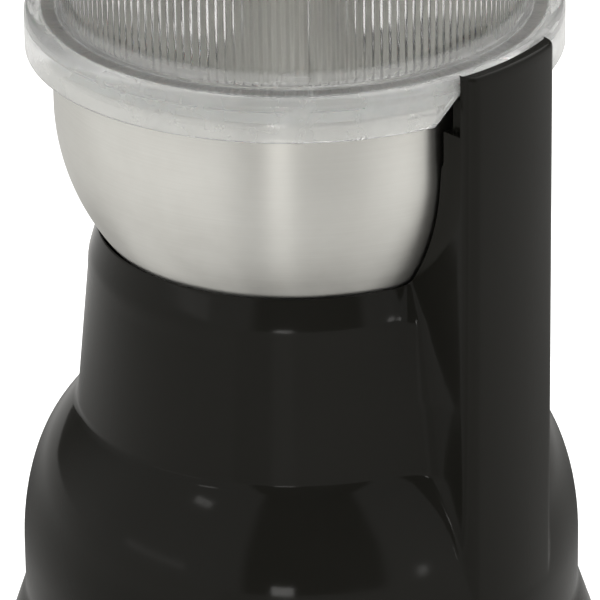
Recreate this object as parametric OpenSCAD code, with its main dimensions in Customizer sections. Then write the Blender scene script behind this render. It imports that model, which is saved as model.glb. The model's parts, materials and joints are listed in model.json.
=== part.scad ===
// Electric spice grinder: a press-lid mill with a lift-out steel bowl on a motor base.
// Origin at the centre of the footprint on the table, +Z up, the switch pillar towards +X.

/* [Base] */
// Widest radius of the base, which the switch pillar is flush with
base_r = 58.1; // [55:0.1:64]
// How far the skirt stands out at the bottom of the base
skirt_out = 4.9; // [3:0.1:9]
// Height at which the skirt starts to flare
skirt_z = 17; // [14:0.5:20]
// Height of the rubber feet under the base
foot_h = 2; // [1:0.5:4]
// Height at which the shoulder starts to turn in
shoulder_z = 25.3; // [22:0.1:28]
// Height over which the shoulder turns in
shoulder_h = 34.5; // [30:0.5:38]
// Depth of the step from the widest radius to the pedestal
shoulder_in = 11.8; // [10:0.1:13]
// Height of the pedestal rim around the bowl
rim_z = 100.4; // [99:0.1:103]
// Wall of the base moulding
base_wall = 2.4; // [1.8:0.1:3]

/* [Switch pillar] */
// Half width of the pillar's outer face
pillar_half = 13.8; // [13.2:0.1:16]
// Angle at which the pillar's sides close towards the axis
pillar_taper = 7; // [2:1:12]
// Radius of the pillar's two outer edges
pillar_round = 3; // [1:0.1:4]
// Radius of the concave fillets between pillar and pedestal
pillar_fillet = 7; // [5:0.5:9]
// Radial depth of the pillar beside the bowl
pillar_depth = 8.95; // [8.6:0.05:10]
// Height of the pillar's top
pillar_top_z = 149.5; // [148:0.5:153]
// Thickness of the upright plate behind the lid skirt
pillar_plate = 2.9; // [2.6:0.1:3]
// Wall of the hollow pillar
pillar_wall = 1.8; // [1.5:0.1:2]
// Half width of the key that the lid's gap fits over
key_half = 11.3; // [8:0.1:11.6]

/* [Bowl] */
// Height at which the bowl's side starts to curve in
bowl_mid_z = 127.8; // [126:0.1:129]
// Radius of the bowl's curved side
bowl_arc = 46; // [45:0.5:47.5]
// Radius of the bowl's flat bottom
bowl_floor_r = 22; // [20:0.5:24]
// Height of the bowl's rim
bowl_rim_z = 143; // [142:0.1:144]
// Thickness of the bowl's steel
bowl_wall = 0.8; // [0.6:0.1:1]
// Width of the rolled rim outside the bowl
bead_w = 1.25; // [0.8:0.05:1.3]
// Height of the rolled rim
bead_h = 1.6; // [1.2:0.1:2.4]
// Gap between the bowl and the well it sits in
well_gap = 0.6; // [0.5:0.05:0.8]

/* [Lid] */
// Height of the lid's top
lid_top_z = 200; // [180:1:230]
// Wall of the clear cover
lid_wall = 2.8; // [2:0.1:3.2]
// Height of the lid skirt's bottom edge
lid_skirt_z = 139.7; // [139:0.1:141]
// Height of the underside of the flange
flange_z = 145.6; // [145:0.1:146.5]
// Thickness of the flange
flange_t = 3.5; // [3:0.1:4.5]
// Wall of the lid skirt
lid_skirt_wall = 2.2; // [1.8:0.1:2.6]
// Radius of the dome's edge
lid_round = 9; // [6:0.5:14]
// How far the lid cover stands inside the skirt
lid_step = 7.5; // [7:0.1:8]
// Number of fine ribs inside the cover
rib_count = 150; // [60:10:180]
// Depth of the ribs
rib_depth = 0.7; // [0.3:0.1:0.9]
// Travel of the lid when it is pressed
press_travel = 1.5; // [1:0.1:1.6]
// Depth of the groove that holds the seal
seal_groove = 1.6; // [1:0.1:1.8]

/* [Blade drive] */
// Radius of the blade shaft
blade_shaft_r = 3.5; // [3:0.1:4]
// Height of the blade above the bowl's bottom
blade_rise = 13; // [12:0.5:16]
// Length of a blade arm
blade_reach = 31; // [24:0.5:33]
// Radius of the drive couplings
coupling_r = 8; // [7:0.1:8.5]
// Length of the coupling dogs
dog_h = 3.8; // [3:0.1:4.2]
// Height of the hub under the bowl
hub_h = 7.8; // [7.4:0.1:9]
// Radius of the hub under the bowl
hub_r = 20; // [17:0.5:21]

/* [Motor] */
// Radius of the motor shaft
motor_shaft_r = 4; // [3:0.1:4.5]
// Half width of the square field stack
stack_half = 28; // [26:0.5:29]
// Height of the field stack
stack_h = 18; // [14:0.5:20]
// Radius of the armature
armature_r = 16; // [14:0.5:16.5]
// Radius of the commutator
commutator_r = 10; // [8:0.1:10.5]
// Radius of the cooling fan
fan_r = 23; // [18:0.5:24]

/* [Switch] */
// Radius of the push rod
rod_r = 1.5; // [1.2:0.1:1.6]
// Height of the rod's lower end on the switch
switch_top_z = 62; // [58:0.5:64]
// Length of the microswitch
switch_l = 20; // [18:0.5:20]
// Height of the microswitch
switch_h = 10; // [9:0.5:11]

/* [Mains entry] */
// Radius of the hole in the cord gland
gland_bore_r = 3; // [2.5:0.1:3.4]
// Height of the cord gland above the table
gland_z = 25; // [24.5:0.5:28]

/* [Hidden] */
$fn = 96;

e = 0.01;            // reach of a cut past the face it opens
run = 0.05;          // radial clearance of a shaft in its hole

// radii outward from the bowl, all counted back from the widest radius
skirt_r = base_r + skirt_out;
bowl_r = base_r - pillar_depth;
arc_x = bowl_r - bowl_arc;
well_r = bowl_r + bead_w + 0.2;
skirt_clear_r = base_r - pillar_plate;
lid_skirt_r = skirt_clear_r - 0.6;
lid_r = lid_skirt_r - lid_step;
rod_x = skirt_clear_r - rod_r - 0.1;
ledge_z = lid_skirt_z - press_travel - 1.7;
key_top_z = flange_z - press_travel - 0.6;

// bowl and well: both are arcs about the same circle
function arc_r(z, r) = arc_x + sqrt(r * r - pow(bowl_mid_z - z, 2));
function arc_z(x, r) = bowl_mid_z - sqrt(r * r - pow(x - arc_x, 2));
bowl_floor_z = arc_z(bowl_floor_r, bowl_arc);
hub_z = bowl_floor_z - hub_h;
rim_r = arc_r(rim_z, bowl_arc + well_gap);
well_wall = 1.8;
well_floor_t = 2.4;

// base outline
pedestal_r = base_r - shoulder_in;
shoulder_run = 14.5;
shoulder_end = acos(1 - shoulder_in / shoulder_run);
rim_edge = 0.25;

function shoulder_points(inset) = [
    for (i = [0:14]) let (a = shoulder_end * i / 14)
        [base_r - inset - shoulder_run * (1 - cos(a)), shoulder_z + shoulder_h * sin(a)]
];

// motor levels, from the drive coupling down
coupling_top_z = hub_z + 2;
coupling_z = coupling_top_z - dog_h - 3.5;
bearing_top_z = coupling_z - 8.7;
bracket_t = 2.5;
bracket_z = bearing_top_z - bracket_t;
fan_z = bracket_z - 4;
stack_top_z = fan_z - 5.5;
stack_z = stack_top_z - stack_h;
winding_h = 4.5;
commutator_h = 8.5;
commutator_z = stack_z - winding_h - commutator_h;
brush_z = commutator_z + commutator_h / 2;
lower_bracket_z = commutator_z - 6;
bearing_h = 6.5;
top_bearing_r = 11;
low_bearing_r = 9.5;
bolt_y = stack_half - 2.9;
bolt_r = 2;
pole_neck_half = 8;
coil_in = armature_r + 1.8;
coil_out = coil_in + 5.2;
low_bracket_w = 18;
holder_w = 9.2;
holder_h = 7.2;
holder_in = 12;
holder_out = 21.5;
brush_w = 6;
brush_h = 4.4;
mount_at = (pedestal_r - base_wall - 8.3) / sqrt(2);
mount_z = bracket_z + bracket_t;

// feet and bottom cover
cover_t = 2.4;
cover_r = skirt_r - base_wall - 0.9;
deck_z = foot_h + cover_t;
foot_r = 7;
foot_at = base_r - 14.1;
post_r = 4.2;
boss_at = base_r - base_wall - 3.4;
post_xy = boss_at / sqrt(2);
screw_r = 1.5;
vent_count = 7;
vent_pitch = 7;
vent_w = 2.5;
vent_l = 52;

// mains entry: clamp, terminal block and capacitor on the bottom cover
clamp_y = base_r - 18.1;
clamp_w = 20;
clamp_l = 7;
clamp_screw_x = 7;
clamp_z = gland_z - gland_bore_r + 1;
clamp_top_z = gland_z + gland_bore_r + 2.5;
terminal_w = 12;
terminal_l = 18;
terminal_h = 11;
terminal_pitch = 9;
terminal_x = base_r - 24.1;
terminal_y = post_xy - post_r - 0.8 - terminal_l / 2;
wire_z = deck_z + 5;
lead_r = 1.1;
cap_w = 10;
cap_l = 18;
cap_h = 13;
cap_x = 21.1 - base_r;
cap_y = post_xy - post_r - 2.8 - cap_l / 2;

// switch
switch_z = switch_top_z - 2;
shelf_t = 2.4;
switch_x = rod_x - 5.1;
switch_w = 6.3;
guide_z = 97;
guide_t = 2.5;
collar_z = 112;
spring_turns = 7;

lid_in_r = lid_r - lid_wall;
seal_in_r = bowl_r - 1.1;
seal_out_r = well_r + 0.6;
flange_top_z = flange_z + flange_t;

module ring(r_out, r_in, z0, z1) {
    translate([0, 0, z0])
        difference() {
            cylinder(r = r_out, h = z1 - z0);
            translate([0, 0, -e])
                cylinder(r = r_in, h = z1 - z0 + 2 * e);
        }
}

module disc(r, z0, z1) {
    translate([0, 0, z0])
        cylinder(r = r, h = z1 - z0);
}

module block(x0, x1, y0, y1, z0, z1) {
    translate([x0, y0, z0])
        cube([x1 - x0, y1 - y0, z1 - z0]);
}

module around(count, radius, start = 0) {
    for (i = [0:count - 1])
        rotate(start + 360 * i / count)
            translate([radius, 0, 0])
                children();
}

// ---------- base moulding ----------

module base_outline() {
    rotate_extrude()
        polygon(concat(
            [[0, foot_h], [skirt_r, foot_h], [skirt_r, foot_h + 2.5], [base_r + 0.6, skirt_z]],
            [[base_r, skirt_z + 1.5]],
            shoulder_points(0),
            [[rim_r + 1.75, rim_z - 7], [rim_r + 0.45, rim_z - 1], [rim_r + rim_edge, rim_z]],
            [[0, rim_z]]
        ));
}

module base_hollow() {
    in = base_wall;
    rotate_extrude()
        polygon(concat(
            [[0, -e], [cover_r + 0.4, -e], [cover_r + 0.4, foot_h + cover_t + 0.1]],
            [[base_r - in, skirt_z]],
            shoulder_points(in),
            [[rim_r + 1.3 - in, rim_z - 8], [0, rim_z - 8]]
        ));
}

// point on the pillar's side at the widest radius
pillar_x = sqrt(pow(base_r, 2) - pow(pillar_half, 2));

// plan of the pillar above the rim: an arc of the widest radius and two tapered sides
module pillar_wedge(inset, outer) {
    half = pillar_half - inset / cos(pillar_taper);
    root = half - pillar_x * tan(pillar_taper);
    far = [pillar_x + 12 * cos(pillar_taper), half + 12 * sin(pillar_taper)];
    intersection() {
        circle(r = outer);
        polygon([[0, root], far, [far.x, -far.y], [0, -root]]);
    }
}

// rounds the two outer edges of a plan of the pillar, with arcs that just cross its faces
module pillar_edges(outer) {
    r = pillar_round;
    overlap = 0.02;
    along = [cos(pillar_taper), sin(pillar_taper)];
    across = [-along.y, along.x];
    from = [pillar_x, pillar_half] - r * across;
    step = from * along;
    t = sqrt(pow(step, 2) - from * from + pow(outer - r, 2)) - step;
    centre = from + t * along;
    touch = centre + r * across;
    corner = touch + 2 * r * along;
    out = centre * (outer + 2 * r) / (outer - r);
    difference() {
        children();
        polygon([centre, touch, corner, out]);
        mirror([0, 1])
            polygon([centre, touch, corner, out]);
    }
    for (side = [-1, 1])
        translate([centre.x, side * centre.y])
            circle(r = r + overlap);
}

// plan of the pillar below the rim: two concave fillets lead into the pedestal
module pillar_plan(inset, outer) {
    half = pillar_half - inset / cos(pillar_taper);
    s = sin(pillar_taper);
    c = cos(pillar_taper);
    f = pillar_fillet + inset;
    ped = pedestal_r - 3 - inset;
    ax = pillar_x - f * s;
    ay = half + f * c;
    along = ax * c + ay * s;
    t = along - sqrt(pow(along, 2) - ax * ax - ay * ay + pow(ped + f, 2));
    centre = [ax - t * c, ay - t * s];
    touch = [pillar_x - t * c, half - t * s];
    root = centre * ped / (ped + f);
    far = [pillar_x + 12 * c, half + 12 * s];
    difference() {
        intersection() {
            circle(r = outer);
            polygon([
                [0, 0], root, centre, touch, far,
                [far.x, -far.y], [touch.x, -touch.y], [centre.x, -centre.y], [root.x, -root.y]
            ]);
        }
        for (side = [-1, 1])
            translate([centre.x, side * centre.y])
                circle(r = f);
    }
}

module pillar_outline() {
    outer = base_r - 0.1;
    translate([0, 0, shoulder_z + 2])
        linear_extrude(rim_z - shoulder_z - 2)
            pillar_edges(outer)
                pillar_plan(0, outer);
    translate([0, 0, rim_z - 1])
        linear_extrude(pillar_top_z - rim_z + 1)
            pillar_edges(outer)
                pillar_wedge(0, outer);
}

module pillar_hollow() {
    difference() {
        union() {
            translate([0, 0, shoulder_z + 5])
                linear_extrude(rim_z - 3 - shoulder_z - 5)
                    pillar_plan(pillar_wall, base_r - pillar_wall);
            translate([0, 0, rim_z - 4])
                linear_extrude(bowl_mid_z - rim_z)
                    pillar_wedge(pillar_wall, base_r - pillar_wall);
        }
        pillar_guides();
    }
}

// two cross walls in the pillar: the rod's lower guide and the microswitch shelf
module pillar_guides() {
    block(rod_x - 7, base_r, -pillar_half, pillar_half, guide_z, guide_z + guide_t);
    block(switch_x - 2, base_r, -pillar_half, pillar_half,
        switch_z - switch_h - shelf_t, switch_z - switch_h);
}

// space that the bowl and the lid take out of the moulding
module well_space() {
    r = bowl_arc + well_gap;
    a0 = acos((hub_r + 2 - arc_x) / r);
    a1 = acos((well_r - arc_x) / (well_r - arc_x + e));
    rotate_extrude()
        polygon(concat(
            [[0, hub_z], [hub_r + 0.5, hub_z], [hub_r + 0.5, bowl_floor_z - 1]],
            [for (i = [0:16]) let (a = a0 + (a1 - a0) * i / 16)
                [arc_x + r * cos(a), bowl_mid_z - r * sin(a)]],
            [[well_r, bowl_mid_z], [well_r, ledge_z], [skirt_clear_r, ledge_z]],
            [[skirt_clear_r, pillar_top_z + 1], [0, pillar_top_z + 1]]
        ));
}

// wall that carries the well, from its floor up to the bowl's straight side
module well_shell() {
    r = bowl_arc + well_gap + well_wall;
    a0 = acos((hub_r + 2 + well_wall - arc_x) / r);
    rotate_extrude()
        polygon(concat(
            [[0, hub_z - well_floor_t], [hub_r + 0.5 + well_wall, hub_z - well_floor_t]],
            [for (i = [0:14]) let (a = a0 * (1 - i / 14))
                [arc_x + r * cos(a), bowl_mid_z - r * sin(a)]],
            [[0, bowl_mid_z]]
        ));
}

module screw_posts() {
    for (x = [-1, 1], y = [-1, 1])
        translate([x * mount_at, y * mount_at, 0])
            disc(4.6, mount_z + 3, rim_z - 6);
    around(4, boss_at, 45)
        disc(post_r, deck_z, shoulder_z + 20);
    block(-6, 6, base_r - 9, base_r, gland_z - 8, gland_z + 8);
}

module key() {
    intersection() {
        block(0, base_r, -key_half, key_half, ledge_z - 1, key_top_z);
        ring(base_r - 1, well_r + 0.6, ledge_z - 1, key_top_z);
    }
}

module housing() {
    color("#24231f")
        difference() {
            union() {
                difference() {
                    union() {
                        base_outline();
                        pillar_outline();
                    }
                    difference() {
                        union() {
                            base_hollow();
                            pillar_hollow();
                        }
                        well_shell();
                        screw_posts();
                    }
                    well_space();
                }
                key();
            }
            housing_holes();
        }
}

module housing_holes() {
    // push rod, through the key and the guide
    translate([rod_x, 0, guide_z - 1])
        cylinder(r = rod_r + run, h = pillar_top_z - guide_z);
    // coupling hole in the well's floor
    disc(coupling_r + 1.6, hub_z - well_floor_t - 1, hub_z + 1);
    // screws
    for (x = [-1, 1], y = [-1, 1])
        translate([x * mount_at, y * mount_at, 0])
            disc(screw_r, mount_z + 2, mount_z + 15);
    around(4, boss_at, 45)
        disc(screw_r, foot_h, foot_h + 18);
    for (side = [-1, 1])
        translate([switch_x + switch_w / 2, side * (switch_l / 2 - 2.8), 0])
            disc(1.1, switch_z - switch_h - shelf_t - 1, switch_z - switch_h + 1);
    // cord gland
    translate([0, base_r - 14, gland_z])
        rotate([-90, 0, 0])
            cylinder(r = gland_bore_r + 1.3, h = 20);
}

// ---------- bottom of the base ----------

module bottom_cover() {
    color("#2c2b28")
        difference() {
            union() {
                disc(cover_r, foot_h, deck_z);
                block(-clamp_w / 2, clamp_w / 2, clamp_y - clamp_l / 2 - 0.5, clamp_y + clamp_l / 2 + 0.5,
                    deck_z - e, clamp_z);
                ring(low_bearing_r + 6, low_bearing_r + 4.5, deck_z - e, deck_z + 1);
            }
            around(4, foot_at)
                disc(2.6, foot_h - 1, deck_z + 1);
            around(4, boss_at, 45) {
                disc(screw_r + 0.1, foot_h - 1, deck_z + 1);
                disc(3.2, foot_h - 1, foot_h + 1.2);
            }
            for (i = [0:vent_count - 1])
                translate([0, (i - (vent_count - 1) / 2) * vent_pitch, 0])
                    block(-vent_l / 2, vent_l / 2, -vent_w / 2, vent_w / 2, foot_h - 1, deck_z + 2);
            for (side = [-1, 1])
                translate([side * clamp_screw_x, clamp_y, 0])
                    disc(1.3, deck_z + 2, gland_z);
            cord_channel();
        }
}

module cord_channel() {
    translate([0, clamp_y - clamp_l - 3, gland_z])
        rotate([-90, 0, 0])
            cylinder(r = gland_bore_r, h = 2 * clamp_l + 6);
}

module foot(i) {
    color("#1d1c1b")
        rotate(90 * (i - 1))
            translate([foot_at, 0, 0]) {
                disc(foot_r, 0, foot_h);
                disc(2.5, foot_h - e, deck_z);
            }
}

module cover_screw(i) {
    color("silver")
        rotate(45 + 90 * (i - 1))
            translate([boss_at, 0, 0]) {
                disc(3, foot_h + 0.2, foot_h + 1.2);
                disc(screw_r - run, foot_h + 1.2 - e, foot_h + 14);
            }
}

module cord_gland() {
    color("#1a1a19")
        translate([0, 0, gland_z])
            rotate([-90, 0, 0])
                difference() {
                    union() {
                        translate([0, 0, base_r - 12])
                            cylinder(r = gland_bore_r + 1.25, h = 12.1);
                        translate([0, 0, base_r + 0.05])
                            cylinder(r1 = gland_bore_r + 2.6, r2 = gland_bore_r + 1.9, h = 2.4);
                    }
                    translate([0, 0, base_r - 13])
                        cylinder(r = gland_bore_r, h = 16);
                }
}

module cord_clamp() {
    color("#d8d4c8")
        difference() {
            block(-clamp_w / 2, clamp_w / 2, clamp_y - clamp_l / 2, clamp_y + clamp_l / 2,
                clamp_z, clamp_top_z);
            cord_channel();
            for (side = [-1, 1])
                translate([side * clamp_screw_x, clamp_y, 0])
                    disc(1.4, foot_h, clamp_top_z + 1);
        }
}

module clamp_screw(side) {
    color("silver")
        translate([side * clamp_screw_x, clamp_y, 0]) {
            disc(2.6, clamp_top_z, clamp_top_z + 1.8);
            disc(1.25, clamp_top_z - 18, clamp_top_z + e);
        }
}

module terminal_block() {
    color("#d9d5cb")
        translate([terminal_x, terminal_y, deck_z])
            difference() {
                block(-terminal_w / 2, terminal_w / 2, -terminal_l / 2, terminal_l / 2, 0, terminal_h);
                for (side = [-1, 1])
                    translate([0, side * terminal_pitch / 2, 0]) {
                        disc(2, terminal_h - 4, terminal_h + 1);
                        translate([-terminal_w, 0, wire_z - deck_z])
                            rotate([0, 90, 0])
                                cylinder(r = 1.7, h = 2 * terminal_w);
                    }
            }
}

module capacitor() {
    color("#b9a13a")
        translate([cap_x, cap_y, deck_z]) {
            block(-cap_w / 2, cap_w / 2, -cap_l / 2, cap_l / 2, 0, cap_h);
            for (side = [-1, 1])
                translate([0, side * 5, cap_h - e])
                    cylinder(r = 0.5, h = 5);
        }
}

// a soft lead: an eight-sided tube swept along its points
module lead(points, r) {
    last = len(points) - 1;
    sides = 8;
    function along(i) = points[min(i + 1, last)] - points[max(i - 1, 0)];
    function side_of(d) = cross(d, [0, 0, 1]) / norm(cross(d, [0, 0, 1]));
    polyhedron(
        points = [
            for (i = [0:last])
                let (d = along(i) / norm(along(i)), u = side_of(d), v = cross(d, u))
                    for (k = [0:sides - 1])
                        points[i] + r * (cos(360 * k / sides) * u + sin(360 * k / sides) * v)
        ],
        faces = concat(
            [[for (k = [0:sides - 1]) k]],
            [for (i = [0:last - 1], k = [0:sides - 1])
                [i * sides + k, (i + 1) * sides + k,
                    (i + 1) * sides + (k + 1) % sides, i * sides + (k + 1) % sides]],
            [[for (k = [sides - 1:-1:0]) last * sides + k]]
        )
    );
}

module lead_live() {
    out_x = terminal_x + terminal_w / 2 + 1;
    color("#6b3a1e")
        lead([
            [out_x, terminal_y - terminal_pitch / 2, wire_z],
            [switch_x - 4, terminal_y - 7, wire_z + 4], [switch_x - 2.5, terminal_y - 12, wire_z + 13],
            [switch_x - 3.5, 6, wire_z + 25], [switch_x - 4, 4, switch_z - 14],
            [switch_x - 3.6, 3.4, switch_z - 8.5], [switch_x - 2, 3.1, switch_z - 5.4],
            [switch_x - 0.3, 3, switch_z - 5]
        ], lead_r);
}

module lead_neutral() {
    in_x = terminal_x - terminal_w / 2 - 1;
    color("#27458c")
        lead([
            [in_x, terminal_y + terminal_pitch / 2, wire_z], [in_x - 15, terminal_y + 7, wire_z + 1],
            [cap_x + 23, cap_y + 12, wire_z + 1], [cap_x + cap_w / 2 + 0.5, cap_y + 7, wire_z + 2]
        ], lead_r);
}

module well_seal() {
    color("#3a3a38")
        ring(coupling_r + 1.55, coupling_r + 0.5, hub_z - well_floor_t, hub_z);
}

// ---------- motor ----------

module motor_top_bracket() {
    half = mount_at + 6;
    color("#c9c9c6")
        difference() {
            union() {
                block(-half, half, -half, half, bracket_z, mount_z);
                disc(top_bearing_r + 2.2, bracket_z, bearing_top_z + bearing_h + 1);
            }
            disc(top_bearing_r, bearing_top_z, bearing_top_z + bearing_h + 2);
            disc(motor_shaft_r + 2, bracket_z - 1, bearing_top_z + 1);
            for (x = [-1, 1], y = [-1, 1])
                translate([x * mount_at, y * mount_at, 0])
                    disc(3.5, bracket_z - 1, mount_z + 1);
            for (side = [-1, 1])
                translate([0, side * bolt_y, 0])
                    disc(bolt_r + run, bracket_z - 1, mount_z + 1);
            for (a = [45:90:315])
                rotate(a)
                    translate([0, 0, bracket_z - 1])
                        linear_extrude(5)
                            intersection() {
                                circle(r = mount_at + 1);
                                translate([top_bearing_r + 4, -7])
                                    square([12, 14]);
                            }
            around(4, norm([half, half]), 45)
                translate([0, 0, bracket_z - 1])
                    rotate(45)
                        translate([-3.5, -3.5, 0])
                            cube([7, 7, 5]);
        }
}

module motor_bottom_bracket() {
    arm = stack_half + 2;
    z = lower_bracket_z;
    foot_w = 2 * (holder_w / 2 + 1.4);
    foot_l = holder_out - holder_in + 0.5;
    color("#c9c9c6")
        difference() {
            union() {
                block(-low_bracket_w / 2, low_bracket_w / 2, -arm, arm, z, z + bracket_t);
                disc(low_bearing_r + 2, z - 4.4, z + bracket_t);
                for (side = [-1, 1])
                    translate([0, side * (holder_in + holder_out) / 2, 0])
                        block(-foot_w / 2, foot_w / 2, -foot_l / 2, foot_l / 2,
                            z + bracket_t - e, brush_z - holder_h / 2);
            }
            disc(low_bearing_r + run / 2, z - 3.4, z + 3);
            disc(motor_shaft_r + 1.5, z - 5, z);
            for (side = [-1, 1])
                translate([0, side * bolt_y, 0])
                    disc(bolt_r + run, z - 1, z + 4);
        }
}

module motor_mount(x, y) {
    color("#2a2a28")
        translate([x * mount_at, y * mount_at, 0])
            difference() {
                union() {
                    disc(5, bracket_z - 2.2, bracket_z);
                    disc(3.45, bracket_z - e, mount_z + e);
                    disc(5, mount_z, mount_z + 3);
                }
                disc(screw_r + 0.2, bracket_z - 3, mount_z + 4);
            }
}

module mount_screw(x, y) {
    color("silver")
        translate([x * mount_at, y * mount_at, 0]) {
            disc(4, bracket_z - 4.2, bracket_z - 2.2);
            disc(screw_r - run, bracket_z - 2.2 - e, mount_z + 13);
        }
}

module motor_bolt(side) {
    color("silver")
        translate([0, side * bolt_y, 0]) {
            disc(3.4, mount_z, mount_z + 2.4);
            disc(bolt_r, lower_bracket_z - 3.4, mount_z + e);
            translate([0, 0, lower_bracket_z - 3.2])
                cylinder(r = 3.6, h = 3.2, $fn = 6);
        }
}

module stator_plan() {
    difference() {
        square(2 * stack_half, center = true);
        circle(r = armature_r + 0.5);
        for (x = [-1, 1], y = [-1, 1])
            translate([x * (coil_in + coil_out) / 2, y * (pole_neck_half + 8)])
                square([coil_out - coil_in, 16], center = true);
        for (side = [-1, 1]) {
            translate([0, side * (armature_r + 1)])
                square([10, 8], center = true);
            translate([0, side * bolt_y])
                circle(r = bolt_r + run);
        }
        for (a = [45:90:315])
            rotate(a)
                translate([stack_half * sqrt(2) + 3, 0])
                    square(14, center = true);
    }
}

module stator_core() {
    color("#8d8f92")
        translate([0, 0, stack_z])
            linear_extrude(stack_h)
                stator_plan();
}

module field_coil(side) {
    x = side > 0 ? coil_in : -coil_out;
    g = 0.2;
    color("#a5552a")
        difference() {
            block(x + g, x + coil_out - coil_in - g, -pole_neck_half - 7.5, pole_neck_half + 7.5,
                stack_z - 4, stack_z + stack_h + 4);
            block(x - 1, x + coil_out, -pole_neck_half - g, pole_neck_half + g,
                stack_z - g, stack_z + stack_h + g);
        }
}

module bearing(r, z, z1) {
    color("#b8babd")
        difference() {
            ring(r, motor_shaft_r + run, z, z1);
            ring(r * 0.78, r * 0.58, z - 1, z + 0.4);
            ring(r * 0.78, r * 0.58, z1 - 0.4, z1 + 1);
        }
}

module bearing_top() {
    bearing(top_bearing_r, bearing_top_z, bearing_top_z + bearing_h);
}

module bearing_bottom() {
    bearing(low_bearing_r, lower_bracket_z - 3.4, lower_bracket_z + 2.4);
}

module brush_holder(side) {
    color("#c8a24a")
        translate([0, side * (holder_in + holder_out) / 2, brush_z])
            difference() {
                cube([holder_w, holder_out - holder_in, holder_h], center = true);
                cube([brush_w + 0.2, holder_out, brush_h + 0.2], center = true);
            }
}

module carbon_brush(side) {
    brush_l = holder_out - commutator_r + 0.5 - 1;
    color("#333333")
        difference() {
            translate([0, side * (commutator_r - 2 + brush_l / 2), brush_z])
                cube([brush_w, brush_l, brush_h], center = true);
            disc(commutator_r + run, brush_z - brush_h, brush_z + brush_h);
        }
}

// ---------- rotor ----------

module motor_shaft() {
    color("#c4c6c9")
        disc(motor_shaft_r, lower_bracket_z - 3.2, coupling_z + 3);
}

module armature_core() {
    color("#77797c")
        translate([0, 0, stack_z])
            linear_extrude(stack_h)
                difference() {
                    circle(r = armature_r);
                    circle(r = motor_shaft_r);
                    around(12, armature_r - 3.5)
                        translate([0, -1.6])
                            square([5, 3.2]);
                }
}

module armature_winding() {
    color("#b0602f") {
        ring(armature_r - 1, motor_shaft_r + 1, stack_z - winding_h, stack_z);
        ring(armature_r - 1, motor_shaft_r + 1, stack_top_z, stack_top_z + winding_h);
        translate([0, 0, stack_z - e])
            around(12, armature_r - 3.4)
                translate([0, -1.5, 0])
                    cube([2.4, 3, stack_h + 2 * e]);
    }
}

module commutator() {
    color("#b87333")
        translate([0, 0, commutator_z])
            linear_extrude(commutator_h)
                difference() {
                    circle(r = commutator_r);
                    circle(r = motor_shaft_r);
                    around(24, commutator_r - 0.6)
                        translate([0, -0.2])
                            square([1, 0.4]);
                }
}

module cooling_fan() {
    color("#3b3b39")
        difference() {
            union() {
                disc(8, fan_z - 0.4, fan_z + 3);
                disc(fan_r, fan_z, fan_z + 1);
                around(12, 9)
                    rotate(25)
                        translate([0, -0.5, fan_z + 1 - e])
                            cube([fan_r - 12, 1, 2]);
            }
            disc(motor_shaft_r, fan_z - 2, fan_z + 4);
        }
}

// three dogs of 50 degrees each
module dogs(z0, z1, start) {
    for (i = [0:2])
        rotate(start + 120 * i)
            translate([0, 0, z0])
                rotate_extrude(angle = 50)
                    translate([3.4, 0])
                        square([coupling_r - 3.8, z1 - z0]);
}

module drive_coupling() {
    top = coupling_z + 3.5;
    color("#20201f") {
        difference() {
            disc(coupling_r, coupling_z, top);
            disc(motor_shaft_r, coupling_z - 1, coupling_z + 3);
        }
        dogs(top - e, top + dog_h, -25);
    }
}

// ---------- bowl ----------

module bowl() {
    inner = bowl_arc - bowl_wall;
    a0 = acos((bowl_floor_r - arc_x) / bowl_arc);
    a1 = acos((bowl_floor_r - arc_x) / inner);
    steps = 18;
    color("#c2c1bb")
        rotate_extrude()
            polygon(concat(
                [[8.05, bowl_floor_z]],
                [for (i = [0:steps]) let (a = a0 * (1 - i / steps))
                    [arc_x + bowl_arc * cos(a), bowl_mid_z - bowl_arc * sin(a)]],
                [[bowl_r, bowl_rim_z - bead_h], [bowl_r + bead_w - 0.4, bowl_rim_z - bead_h]],
                [[bowl_r + bead_w, bowl_rim_z - bead_h + 0.4], [bowl_r + bead_w, bowl_rim_z - 0.4]],
                [[bowl_r + bead_w - 0.4, bowl_rim_z], [bowl_r - bowl_wall, bowl_rim_z]],
                [for (i = [0:steps]) let (a = a1 * i / steps)
                    [arc_x + inner * cos(a), bowl_mid_z - inner * sin(a)]],
                [[bowl_floor_r - 1, bowl_floor_z + bowl_wall], [8.05, bowl_floor_z + bowl_wall]]
            ));
}

stem_top_z = bowl_floor_z + blade_rise - 3;
hub_nut_h = 3.2;

module bowl_hub() {
    color("#2b2a28")
        difference() {
            union() {
                disc(hub_r, hub_z, bowl_floor_z);
                disc(8, bowl_floor_z - e, stem_top_z);
            }
            disc(coupling_r + 2.4, hub_z - 1, bowl_floor_z - 1.8);
            disc(blade_shaft_r + 2, hub_z, stem_top_z + 1);
            around(8, 15)
                disc(2, hub_z - 1, hub_z + 4);
        }
}

module hub_nut() {
    z = bowl_floor_z + bowl_wall;
    color("#bdbdb9")
        difference() {
            translate([0, 0, z])
                cylinder(r = 12, h = hub_nut_h, $fn = 6);
            disc(8.05, z - 1, z + hub_nut_h + 1);
        }
}

module bowl_bush() {
    color("#b08d4a") {
        ring(blade_shaft_r + 1.95, blade_shaft_r + run, bowl_floor_z - 1.8, stem_top_z);
        ring(blade_shaft_r + 3.5, blade_shaft_r + run, stem_top_z, stem_top_z + 1.2);
    }
}

blade_z = bowl_floor_z + blade_rise;

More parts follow.
